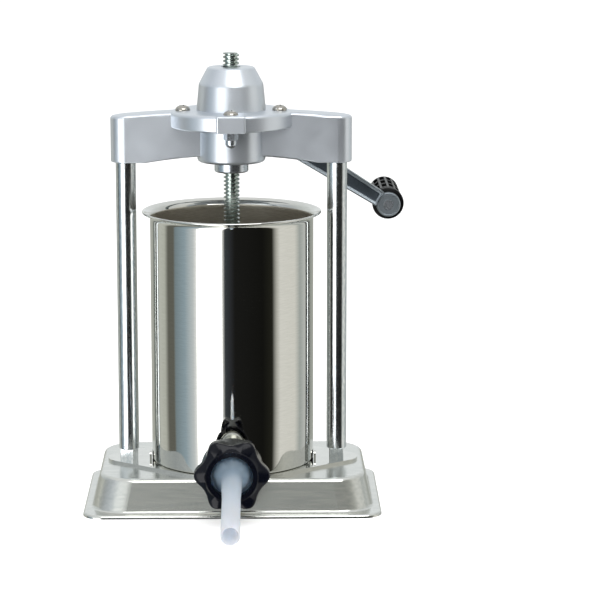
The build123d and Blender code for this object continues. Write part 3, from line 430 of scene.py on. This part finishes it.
def build_world():
    """Studio surroundings: white to the eye and for soft light, banded in reflections."""
    world = bpy.data.worlds.new("studio")
    bpy.context.scene.world = world
    world.use_nodes = True
    tree = world.node_tree
    tree.nodes.clear()
    direction = node(tree, "TexCoord").outputs["Generated"]
    turn = node(tree, "TexGradient", {"Vector": direction}, gradient_type="RADIAL")
    ramps = []
    for bands in (LOW_BANDS, HIGH_BANDS):
        ramp = node(tree, "ValToRGB", {"Fac": turn.outputs["Fac"]})
        fill_ramp(ramp, [((azimuth + 90) / 360, code) for azimuth, code in bands])
        ramps.append(ramp.outputs["Color"])
    height = node(tree, "SeparateXYZ", {"Vector": direction}).outputs["Z"]
    raised = node(tree, "MapRange", {"Value": height, "From Min": 0.02, "From Max": 0.14})
    overhead = node(tree, "MapRange", {"Value": height, "From Min": 0.55, "From Max": 0.8})
    ring = node(tree, "Mix", {"Factor": raised.outputs[0], 6: ramps[0], 7: ramps[1]},
                data_type="RGBA")
    banded = node(tree, "Mix", {"Factor": overhead.outputs[0], 6: ring.outputs[2],
                                7: linear("e3e5e6")}, data_type="RGBA")
    path = node(tree, "LightPath")
    seen = node(tree, "Mix", {"Factor": path.outputs["Is Glossy Ray"], 6: linear("ffffff"),
                              7: banded.outputs[2]}, data_type="RGBA")
    level = node(tree, "SeparateColor", {"Color": ramps[0]}).outputs["Blue"]
    lit = node(tree, "MapRange", {"Value": level, "From Min": 0.93, "From Max": 1.0,
                                  "To Min": 1.15, "To Max": SOFTBOX_GAIN})
    fading = node(tree, "MapRange", {"Value": raised.outputs[0], "To Min": 1.0, "To Max": 0.0})
    gain = node(tree, "Mix", {"Factor": fading.outputs[0], 2: 1.15, 3: lit.outputs[0]})
    boost = node(tree, "Mix", {"Factor": path.outputs["Is Glossy Ray"], 2: 1.0,
                               3: gain.outputs[0]})
    light = node(tree, "Background", {"Color": seen.outputs[2], "Strength": boost.outputs[0]})
    node(tree, "OutputWorld", {"Surface": light.outputs[0]})


def add_light(name, place, target, size, power, in_gloss=False):
    """Soft square light that points at a place."""
    bpy.ops.object.light_add(type="AREA", location=place)
    light = bpy.context.object
    light.name = name
    light.data.size = size
    light.data.energy = power
    light.rotation_euler = (Vector(target) - Vector(place)).to_track_quat("-Z", "Y").to_euler()
    light.visible_glossy = in_gloss


class STUFFER_OT_stage(bpy.types.Operator):
    """Adds the camera, the white floor and the soft studio light"""
    bl_idname = "stuffer.stage"
    bl_label = "Stage"

    def execute(self, context):
        settings = context.scene.stuffer_stage
        build_world()
        context.scene.view_settings.view_transform = "Standard"
        bpy.ops.object.camera_add(location=(0.0160, -1.9955, 0.5362),
                                  rotation=(math.radians(79.31), 0, math.radians(-1.1)))
        camera = context.object
        camera.name = "stage_camera"
        camera.data.lens = settings.lens
        camera.data.sensor_width = 36.0
        camera.data.clip_end = 50.0
        context.scene.camera = camera
        bpy.ops.mesh.primitive_plane_add(size=2 * settings.floor_reach, location=(0, 0, 0))
        floor = context.object
        floor.name = "stage_floor"
        material, tree, place = new_material("white_paper_sweep")
        haze = node(tree, "TexNoise", {"Vector": place, "Scale": 2.0})
        tone = node(tree, "Mix", {"Factor": haze.outputs["Fac"], 6: linear("fbfbfb"),
                                  7: linear("ffffff")}, data_type="RGBA")
        close_material(tree, node(tree, "BsdfPrincipled", {
            "Base Color": tone.outputs[2], "Roughness": 0.9, "Specular IOR Level": 0.0,
            "Emission Color": linear("ffffff"), "Emission Strength": 0.12}))
        floor.data.materials.append(material)
        floor.visible_glossy = False
        add_light("key_light", (-1.3, -1.5, 1.9), (0, 0, 0.15), 1.2, 16.0)
        add_light("fill_light", (1.6, -1.0, 1.2), (0, 0, 0.15), 1.4, 6.0)
        add_light("top_light", (0.39, -1.36, 1.55), (0, 0, 0.3), 1.5, 20.0, True)
        bpy.ops.object.select_all(action="DESELECT")
        return {"FINISHED"}


class STUFFER_OT_finishes(bpy.types.Operator):
    """Makes the materials and puts them on every piece of the frame"""
    bl_idname = "stuffer.finishes"
    bl_label = "Finishes"

    def execute(self, context):
        make_materials(context.scene.stuffer_colours)
        for name, finish in NODE_FINISH.items():
            if name not in NODES:
                continue
            part = NODES[name]
            if not part.material_slots:
                part.data.materials.append(None)
            for slot in part.material_slots:
                slot.material = MATERIALS[finish]
        return {"FINISHED"}


# ---- Cylinder and lead screw ----
class STUFFER_OT_cylinder(bpy.types.Operator):
    """Turns the polished cylinder with its flared lip and cuts the outlet hole"""
    bl_idname = "stuffer.cylinder"
    bl_label = "Cylinder"

    def execute(self, context):
        sizes = context.scene.stuffer_sizes
        low, high = corners("cylinder")
        lip, rim, foot = high.x, high.z, low.z
        radius = lip - 6.2 * MM
        wall = sizes.wall
        flare = rim - 6.5 * MM
        bead = sizes.lip_bead
        outside = [(0.0, foot), (radius - 2 * MM, foot)]
        outside += arc((radius - 2 * MM, foot + 2 * MM), 2 * MM, -90, 0, 6)[1:]
        outside += [(radius, foot + (flare - foot) * step / 4) for step in range(1, 5)]
        sweep = arc((radius + 4.4 * MM, flare), 4.4 * MM, 180, 100, 8)[1:]
        outside += sweep
        outside += arc((lip - bead, rim - bead), bead, -60, 120, 8)
        inner = radius - wall
        inside = arc((radius + 5.0 * MM, flare), 5.0 * MM + wall, 125, 180, 8)
        inside += [(inner, flare - 1 * MM), (inner, foot + 40 * MM)]
        inside += arc((inner - 2 * MM, foot + 3.5 * MM), 2 * MM, 0, -90, 5)
        inside += [(0.0, foot + 1.5 * MM)]
        cylinder = turned("polished_cylinder", outside + inside, 256)
        spout_low, spout_high = corners("outlet_spout")
        bpy.ops.mesh.primitive_cylinder_add(
            vertices=64, radius=9.5 * MM, depth=0.04,
            location=(0, -radius, (spout_low.z + spout_high.z) / 2),
            rotation=(math.pi / 2, 0, 0))
        cutter = context.object
        settle(cutter)
        add_modifier(cylinder, "BOOLEAN", "outlet", operation="DIFFERENCE", object=cutter,
                     solver="EXACT")
        bpy.data.objects.remove(cutter)
        finish_piece(cylinder, "frame", "mirror_stainless", "polished_stainless", "cylinder",
                     angle=40)
        # The inside faces get the scoured finish with its painted shade and reflection: a darker
        # brownish tint.
        cylinder.data.materials.append(MATERIALS["scoured_stainless_painted_shade"])
        for face in cylinder.data.polygons:
            reach = math.hypot(face.center.x, face.center.y)
            if reach < inner + 0.2 * MM and face.center.z > foot + 1 * MM:
                face.material_index = 1
        return {"FINISHED"}


class STUFFER_OT_lead_screw(bpy.types.Operator):
    """Winds the lead screw's thread as a helix and adds its plain stud"""
    bl_idname = "stuffer.lead_screw"
    bl_label = "Lead screw"

    def execute(self, context):
        sizes = context.scene.stuffer_sizes
        low, high = corners("lead_screw")
        piston_top = corners("piston_plate")[1].z
        radius, pitch = high.x, sizes.thread_pitch
        root = radius - sizes.thread_depth
        bpy.ops.mesh.primitive_plane_add(size=pitch, location=(root, 0, piston_top - 2 * pitch))
        screw = context.object
        screw.name = "helical_lead_screw"
        settle(screw)
        edit("VERT")
        select(lambda co, normal: co.x > root and co.y > 0, "VERT")
        bpy.ops.mesh.select_all(action="INVERT")
        bpy.ops.mesh.delete(type="VERT")
        bpy.ops.mesh.select_all(action="SELECT")
        bpy.ops.transform.translate(value=(-pitch / 2, -pitch / 2, 0))
        for out, rise in ((0, 0.16), (1, 0.15), (0, 0.38), (-1, 0.15), (0, 0.16)):
            bpy.ops.mesh.extrude_vertices_move(TRANSFORM_OT_translate={
                "value": (out * sizes.thread_depth, 0, rise * pitch)})
        bpy.ops.object.mode_set(mode="OBJECT")
        turns = int((high.z - piston_top) / pitch) + 4
        add_modifier(screw, "SCREW", "helix", angle=math.tau, screw_offset=pitch, steps=28,
                     render_steps=28, iterations=turns, use_merge_vertices=True,
                     merge_threshold=1e-6, use_normal_calculate=True)
        bpy.ops.object.mode_set(mode="EDIT")
        for plane_z, outer in ((high.z - 0.1 * MM, True), (piston_top, False)):
            bpy.ops.mesh.select_all(action="SELECT")
            bpy.ops.mesh.bisect(plane_co=(0, 0, plane_z), plane_no=(0, 0, 1), use_fill=True,
                                clear_outer=outer, clear_inner=not outer)
        leave_edit()
        stud = turned("piston_stud", [(0.0, low.z), (3.4 * MM, low.z), (4 * MM, low.z + 0.6 * MM),
                                      (4 * MM, piston_top + 1 * MM), (0.0, piston_top + 1 * MM)],
                      48)
        bpy.ops.object.select_all(action="DESELECT")
        stud.select_set(True)
        screw.select_set(True)
        context.view_layer.objects.active = screw
        bpy.ops.object.join()
        finish_piece(screw, "screw_and_piston", "zinc", "zinc_steel", "lead_screw", angle=35)
        return {"FINISHED"}


# ---- Knob and stuffing tube ----
def lobed_ring(name, lobes, tip_r, valley_r, sharpness, steps):
    """Ring of vertices whose radius swells to a tip at each lobe, one lobe along +X."""
    bpy.ops.mesh.primitive_circle_add(vertices=lobes * steps, radius=tip_r)
    ring = bpy.context.object
    ring.name = name
    edit("VERT")
    for step in range(1, steps // 2 + 1):
        swell = (0.5 + 0.5 * math.cos(math.tau * step / steps)) ** sharpness
        radius = valley_r + (tip_r - valley_r) * swell

        def beside_tip(co, normal, step=step):
            phase = math.atan2(co.y, co.x) % (math.tau / lobes) * lobes * steps / math.tau
            return round(phase) % steps in (step, steps - step)

        select(beside_tip, "VERT")
        bpy.ops.transform.resize(value=(radius / tip_r, radius / tip_r, 1),
                                 center_override=(0, 0, 0))
    return ring


class STUFFER_OT_knob(bpy.types.Operator):
    """Shapes the lobed retaining knob with its round skirt, front ring and hole"""
    bl_idname = "stuffer.knob"
    bl_label = "Retaining knob"

    def execute(self, context):
        low, high = corners("retaining_knob")
        axis_z = (low.z + high.z) / 2
        depth = high.y - low.y
        tip_r = (high.x - low.x) / 2
        front = depth
        band_back, band_front = depth - 15.5 * MM, depth - 1.0 * MM
        knob = lobed_ring("retaining_knob_gloss", 6, tip_r, 24.3 * MM, 1.25, 24)
        bpy.ops.mesh.select_all(action="SELECT")
        bpy.ops.transform.translate(value=(0, 0, band_back))
        bpy.ops.mesh.select_mode(type="EDGE")
        bpy.ops.mesh.edge_face_add()
        lobe_front = band_front - 3.2 * MM
        bpy.ops.mesh.extrude_region_move(
            TRANSFORM_OT_translate={"value": (0, 0, lobe_front - band_back)})
        bpy.ops.mesh.extrude_region_move(
            TRANSFORM_OT_translate={"value": (0, 0, band_front - lobe_front)})
        bpy.ops.transform.resize(value=(0.74, 0.74, 1), center_override=(0, 0, 0))
        select(lambda co, along: abs(along.z) < 1e-6 and co.z < lobe_front + 0.1 * MM, "EDGE")
        bpy.ops.mesh.bevel(offset=1.2 * MM, segments=4, profile=0.5, affect="EDGES")
        leave_edit()
        body = turned("knob_body", [
            (0.0, 0.0), (23.4 * MM, 0.0), (24.4 * MM, 0.8 * MM), (24.6 * MM, depth - 12 * MM),
            (24.0 * MM, depth - 5.5 * MM), (20.6 * MM, depth - 1.2 * MM),
            (20.3 * MM, depth - 0.4 * MM), (19.8 * MM, front), (16.5 * MM, front),
            (16.15 * MM, front - 0.4 * MM), (0.0, front - 0.4 * MM),
        ], 144)
        bore = turned("knob_bore", [
            (0.0, -1 * MM), (21.3 * MM, -1 * MM), (21.3 * MM, depth - 7.9 * MM),
            (16.15 * MM, depth - 7.9 * MM), (16.15 * MM, depth + 1 * MM), (0.0, depth + 1 * MM),
        ], 144)
        add_modifier(knob, "BOOLEAN", "body", operation="UNION", object=body, solver="EXACT")
        add_modifier(knob, "BOOLEAN", "bore", operation="DIFFERENCE", object=bore,
                     solver="EXACT")
        for cutter in (body, bore):
            bpy.data.objects.remove(cutter)
        knob.rotation_euler = (math.pi / 2, 0, 0)
        knob.location = (0, high.y, axis_z)
        finish_piece(knob, "knob", "gloss_black", "black_gloss_plastic", "retaining_knob",
                     angle=32)
        return {"FINISHED"}


class STUFFER_OT_tube(bpy.types.Operator):
    """Turns the stuffing tube: a flange, a cone and a slim nozzle with a rounded mouth"""
    bl_idname = "stuffer.tube"
    bl_label = "Stuffing tube"

    def execute(self, context):
        low, high = corners("stuffing_tube")
        length = high.y - low.y
        axis_z = (low.z + high.z) / 2
        flange_r = high.x
        wall = 1.2 * MM
        outside = [(flange_r - 0.3 * MM, 0.0), (flange_r, 0.3 * MM), (flange_r, 2.7 * MM),
                   (flange_r - 0.3 * MM, 3.0 * MM), (16.4 * MM, 3.0 * MM)]
        outside += arc((16.4 * MM, 4.2 * MM), 1.2 * MM, -90, -160, 4)[1:]
        cone = [(14.3, 5.4), (12.6, 8.0), (11.0, 10.6), (9.7, 12.9), (8.8, 14.9), (8.25, 17.0),
                (8.0, 20.0), (7.75, 36.0), (7.4, 56.0), (7.0, 73.0)]
        outside += [(radius * MM, along * MM) for radius, along in cone]
        outside += [(7.0 * MM, length - 30 * MM), (7.0 * MM, length - 0.6 * MM)]
        outside += arc((7.0 * MM - wall / 2, length - 0.6 * MM), wall / 2, 0, 120, 5)[1:]
        inside = [(4.9 * MM, length - 4.0 * MM)]
        inside += [(max(radius * MM - wall, 4.9 * MM), along * MM)
                   for radius, along in reversed(cone)]
        inside += [(14.0 * MM, 3.0 * MM), (14.0 * MM, 0.0)]
        tube = turned("milky_stuffing_tube", outside + inside, 96, closed=True)
        tube.rotation_euler = (math.pi / 2, 0, 0)
        tube.location = (0, high.y, axis_z)
        finish_piece(tube, "tube", "milky", "natural_polyethylene", "stuffing_tube", angle=40)
        return {"FINISHED"}


# ---- Crank ----
def crank_turn():
    """Place of the crank's axis, and how far and how steeply down its grip is."""
    low, high = corners("grip_axle")
    axis = Vector(JOINTS["crank_turn"]["pos_m"])
    grip = Vector(((low.x + high.x) / 2, 0, (low.z + high.z) / 2))
    return axis, math.hypot(grip.x - axis.x, grip.z - axis.z), math.atan2(axis.z - grip.z,
                                                                          grip.x - axis.x)


class STUFFER_OT_grip(bpy.types.Operator):
    """Shapes the grip with its disc, neck and sunk waffle windows"""
    bl_idname = "stuffer.grip"
    bl_label = "Grip"

    def execute(self, context):
        low, high = corners("grip")
        cap_low, cap_high = corners("grip_cap")
        x, z = (low.x + high.x) / 2, (low.z + high.z) / 2
        length = high.y - low.y
        disc_r = (high.x - low.x) / 2
        body_r = 12.5 * MM
        neck = 10.4 * MM
        rows, columns, rib = 3, 13, 2.2 * MM
        outline = [(4.4 * MM, 0.0), (disc_r - 0.8 * MM, 0.0), (disc_r - 0.2 * MM, 0.3 * MM),
                   (disc_r, 0.9 * MM), (disc_r, 2.5 * MM), (disc_r - 0.3 * MM, 3.1 * MM),
                   (11.6 * MM, 3.6 * MM), (11.3 * MM, 4.4 * MM), (11.3 * MM, neck - 1.2 * MM),
                   (11.6 * MM, neck - 0.4 * MM), (body_r, neck)]
        pitch = (length - neck - rib) / rows
        for row in range(rows):
            start = neck + rib + row * pitch
            outline += [(body_r, start), (body_r, start + pitch - rib)]
        outline += [(body_r, length), (7.0 * MM, length)]
        grip = turned("waffle_grip", outline, columns * 8)
        edit("FACE")
        step = math.tau / (columns * 8)

        def in_window(co, normal):
            if math.hypot(co.x, co.y) < body_r - 0.3 * MM or abs(normal.z) > 0.1:
                return False
            along = (co.z - neck - rib) % pitch
            column = int(math.atan2(co.y, co.x) % math.tau / step) % 8
            return co.z > neck + rib and along < pitch - rib and column < 6

        select(in_window)
        bpy.ops.mesh.inset(thickness=0.25 * MM, depth=-0.25 * MM, use_boundary=True)
        bpy.ops.mesh.extrude_region_shrink_fatten(
            TRANSFORM_OT_shrink_fatten={"value": -1.5 * MM})
        leave_edit()
        grip.rotation_euler = (-math.pi / 2, 0, 0)
        grip.location = (x, low.y, z)
        finish_piece(grip, "handle_grip", "satin_black", "black_grip_plastic", "grip", angle=35)
        return {"FINISHED"}


class STUFFER_OT_crank_arm(bpy.types.Operator):
    """Shapes the crank arm: two round ends joined by a bar with ridges and a deep channel"""
    bl_idname = "stuffer.crank_arm"
    bl_label = "Crank arm"

    def execute(self, context):
        low, high = corners("crank_arm")
        axis, reach, slope = crank_turn()
        thick = high.y - low.y
        hub_r, boss_r = axis.x - low.x, 9.9 * MM
        start, end = hub_r - 2.5 * MM, reach - boss_r + 2 * MM
        half_start, half_end = 9.6 * MM, 6.5 * MM
        bpy.ops.mesh.primitive_cube_add(size=1, location=((start + end) / 2, 0, thick / 2))
        arm = context.object
        arm.name = "ridged_crank_arm"
        arm.scale = (end - start, 2 * half_start, thick)
        settle(arm)
        edit("FACE")
        select(lambda co, normal: normal.x > 0.9)
        bpy.ops.transform.resize(value=(1, half_end / half_start, 1),
                                 center_override=(end, 0, thick / 2))
        for side in (0, 1):
            select(lambda co, normal: (normal.z < -0.9, normal.z > 0.9)[side])
            for trim, sink in ((1.3, 0.0), (0.4, 1.0), (0.9, 0.0), (0.4, 1.4)):
                bpy.ops.mesh.inset(thickness=trim * MM, depth=-sink * MM)
        leave_edit()
        add_modifier(arm, "BEVEL", "soft edges", width=0.35 * MM, segments=2,
                     limit_method="ANGLE", angle_limit=math.radians(28))
        hub = turned("crank_hub", [(0.0, 0.0), (hub_r - 0.9 * MM, 0.0),
                                   (hub_r - 0.2 * MM, 0.3 * MM), (hub_r, 1.0 * MM),
                                   (hub_r, thick - 0.8 * MM), (hub_r - 0.8 * MM, thick),
                                   (0.0, thick)], 96)
        boss = turned("crank_boss", [(0.0, 0.35 * MM), (boss_r - 1.6 * MM, 0.35 * MM),
                                     (boss_r - 1.2 * MM, 0.0), (boss_r - 0.6 * MM, 0.0),
                                     (boss_r, 0.6 * MM), (boss_r, thick - 0.6 * MM),
                                     (boss_r - 0.6 * MM, thick), (0.0, thick)], 96)
        boss.location.x = reach
        settle(boss)
        bores = []
        for place, radius in ((0.0, 6.02), (reach, 4.22)):
            bore = turned("bore", [(0.0, -2 * MM), (radius * MM, -2 * MM),
                                   (radius * MM, thick + 2 * MM), (0.0, thick + 2 * MM)], 64)
            bore.location.x = place
            settle(bore)
            bores.append(bore)
        for other, way in ((hub, "UNION"), (boss, "UNION"), (bores[0], "DIFFERENCE"),
                           (bores[1], "DIFFERENCE")):
            add_modifier(arm, "BOOLEAN", other.name, operation=way, object=other, solver="EXACT")
            bpy.data.objects.remove(other)
        arm.rotation_euler = (-math.pi / 2, 0, 0)
        settle(arm)
        arm.rotation_euler = (0, slope, 0)
        arm.location = (axis.x, low.y, axis.z)
        finish_piece(arm, "crank", "dark_aluminium", "crank_aluminium", "crank_arm", angle=32)
        # The channel floor's faces get the painted shade: a darker grey where the channel holds
        # shade.
        arm.data.materials.append(MATERIALS["painted_shade_channel"])
        for face in arm.data.polygons:
            sunk = min(face.center.y - low.y, high.y - face.center.y)
            place = math.hypot(face.center.x - axis.x, face.center.z - axis.z)
            if sunk > 1.8 * MM and abs(face.normal.y) > 0.9 and start < place < end:
                face.material_index = 1
        return {"FINISHED"}


# ---- Screws of the gear head ----
class STUFFER_OT_screws(bpy.types.Operator):
    """Shapes the five domed cover screws with their cross recesses"""
    bl_idname = "stuffer.screws"
    bl_label = "Cover screws"

    def execute(self, context):
        low, high = corners("cover_screws")
        head_r, head_height, bolt_circle = 5.8 * MM, 4.7 * MM, 38.2 * MM
        seat = high.z - head_height
        master = turned("cross_recess_screws", [
            (0.0, low.z), (2.4 * MM, low.z), (3.0 * MM, low.z + 0.8 * MM), (3.0 * MM, seat),
            (head_r - 0.3 * MM, seat), (head_r, seat + 0.4 * MM), (head_r, seat + 1.2 * MM),
            *[(head_r * math.cos(math.radians(turn)),
               seat + 1.2 * MM + (head_height - 1.2 * MM) * math.sin(math.radians(turn)))
              for turn in range(15, 91, 15)]], 64)
        for turn in (0, 90):
            bpy.ops.mesh.primitive_cube_add(size=1, location=(0, 0, high.z))
            slot = context.object
            slot.scale = (5.4 * MM, 1.1 * MM, 3.0 * MM)
            slot.rotation_euler = (0, 0, math.radians(turn + 20))
            settle(slot)
            add_modifier(master, "BOOLEAN", "recess", operation="DIFFERENCE", object=slot,
                         solver="EXACT")
            bpy.data.objects.remove(slot)
        places = (-90, 0, 60, 120, 180)
        copies = []
        for turn in places[1:]:
            bpy.ops.object.select_all(action="DESELECT")
            master.select_set(True)
            context.view_layer.objects.active = master
            bpy.ops.object.duplicate()
            copies.append((context.object, turn))
        for screw, turn in [(master, places[0]), *copies]:
            screw.location = (bolt_circle * math.cos(math.radians(turn)),
                              bolt_circle * math.sin(math.radians(turn)), 0)
            settle(screw)
        bpy.ops.object.select_all(action="DESELECT")
        for screw, _turn in copies:
            screw.select_set(True)
        master.select_set(True)
        context.view_layer.objects.active = master
        bpy.ops.object.join()
        finish_piece(master, "frame", "nickel", "nickel_steel", "cover_screws", angle=35)
        return {"FINISHED"}


class STUFFER_PT_panel(bpy.types.Panel):
    """Lists the stuffer's colours, sizes and steps"""
    bl_label = "Sausage stuffer"
    bl_idname = "STUFFER_PT_panel"
    bl_space_type = "VIEW_3D"
    bl_region_type = "UI"
    bl_category = "Stuffer"

    def draw(self, context):
        for settings in (context.scene.stuffer_colours, context.scene.stuffer_sizes,
                         context.scene.stuffer_stage):
            box = self.layout.box()
            for name in settings.__annotations__:
                box.prop(settings, name)
        for step in STEPS:
            self.layout.operator(step.bl_idname)


STEPS = (STUFFER_OT_stage, STUFFER_OT_finishes, STUFFER_OT_cylinder, STUFFER_OT_lead_screw,
         STUFFER_OT_screws, STUFFER_OT_knob, STUFFER_OT_tube, STUFFER_OT_grip,
         STUFFER_OT_crank_arm)
SETTINGS = {"stuffer_colours": StufferColours, "stuffer_sizes": StufferSizes,
            "stuffer_stage": StageSettings}


def register():
    for kind in (*SETTINGS.values(), *STEPS, STUFFER_PT_panel):
        bpy.utils.register_class(kind)
    for name, kind in SETTINGS.items():
        setattr(bpy.types.Scene, name, bpy.props.PointerProperty(type=kind))


def unregister():
    for name in SETTINGS:
        delattr(bpy.types.Scene, name)
    for kind in reversed((*SETTINGS.values(), *STEPS, STUFFER_PT_panel)):
        bpy.utils.unregister_class(kind)


def main():
    """Registers the add-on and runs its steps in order."""
    register()
    for step in STEPS:
        group, name = step.bl_idname.split(".")
        getattr(getattr(bpy.ops, group), name)()


if __name__ == "__main__":
    main()
